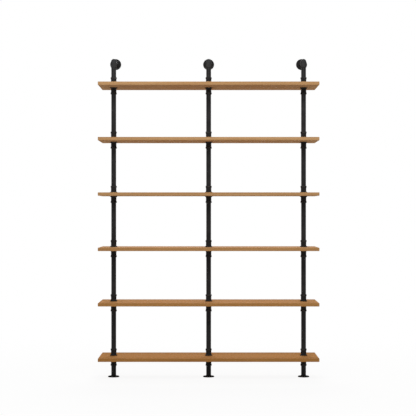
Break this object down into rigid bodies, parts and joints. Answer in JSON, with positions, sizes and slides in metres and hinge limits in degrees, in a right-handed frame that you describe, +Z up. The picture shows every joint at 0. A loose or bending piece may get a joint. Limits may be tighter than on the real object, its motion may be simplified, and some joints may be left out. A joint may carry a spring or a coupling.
{
  "type": "wall shelf",
  "caption": "Wide open wall shelf: full-width wooden boards threaded on black pipe uprights with collars, standing on floor flanges and tied back to the wall by elbows and wall flanges.",
  "frame": {"origin": "on the floor, midway along the boards and midway across their depth, which is on the middle upright's axis", "axes": "+Z up along the uprights, +Y towards the wall, +X along the boards to the right as seen from the room"},
  "size_m": [1.2, 0.3, 1.775],
  "materials": {
    "board_wood": "oiled oak, straight fine grain along the board",
    "pipe_black": "satin black",
    "casting_black": "matt black over a slightly rough casting"
  },
  "bodies": {
    "root": {"shelf_board_1": "board_wood", "shelf_board_2": "board_wood", "shelf_board_3": "board_wood", "shelf_board_4": "board_wood", "shelf_board_5": "board_wood", "shelf_board_6": "board_wood", "upright_left": "pipe_black", "upright_middle": "pipe_black", "upright_right": "pipe_black", "wall_nipple_left": "pipe_black", "wall_nipple_middle": "pipe_black", "wall_nipple_right": "pipe_black", "elbow_left": "casting_black", "elbow_middle": "casting_black", "elbow_right": "casting_black", "wall_flange_left": "casting_black", "wall_flange_middle": "casting_black", "wall_flange_right": "casting_black", "floor_flange_left": "casting_black", "floor_flange_middle": "casting_black", "floor_flange_right": "casting_black", "collar_left_1_under": "casting_black", "collar_left_1_over": "casting_black", "collar_left_2_under": "casting_black", "collar_left_2_over": "casting_black", "collar_left_3_under": "casting_black", "collar_left_3_over": "casting_black", "collar_left_4_under": "casting_black", "collar_left_4_over": "casting_black", "collar_left_5_under": "casting_black", "collar_left_5_over": "casting_black", "collar_left_6_under": "casting_black", "collar_left_6_over": "casting_black", "collar_middle_1_under": "casting_black", "collar_middle_1_over": "casting_black", "collar_middle_2_under": "casting_black", "collar_middle_2_over": "casting_black", "collar_middle_3_under": "casting_black", "collar_middle_3_over": "casting_black", "collar_middle_4_under": "casting_black", "collar_middle_4_over": "casting_black", "collar_middle_5_under": "casting_black", "collar_middle_5_over": "casting_black", "collar_middle_6_under": "casting_black", "collar_middle_6_over": "casting_black", "collar_right_1_under": "casting_black", "collar_right_1_over": "casting_black", "collar_right_2_under": "casting_black", "collar_right_2_over": "casting_black", "collar_right_3_under": "casting_black", "collar_right_3_over": "casting_black", "collar_right_4_under": "casting_black", "collar_right_4_over": "casting_black", "collar_right_5_under": "casting_black", "collar_right_5_over": "casting_black", "collar_right_6_under": "casting_black", "collar_right_6_over": "casting_black"}
  },
  "joints": []
}
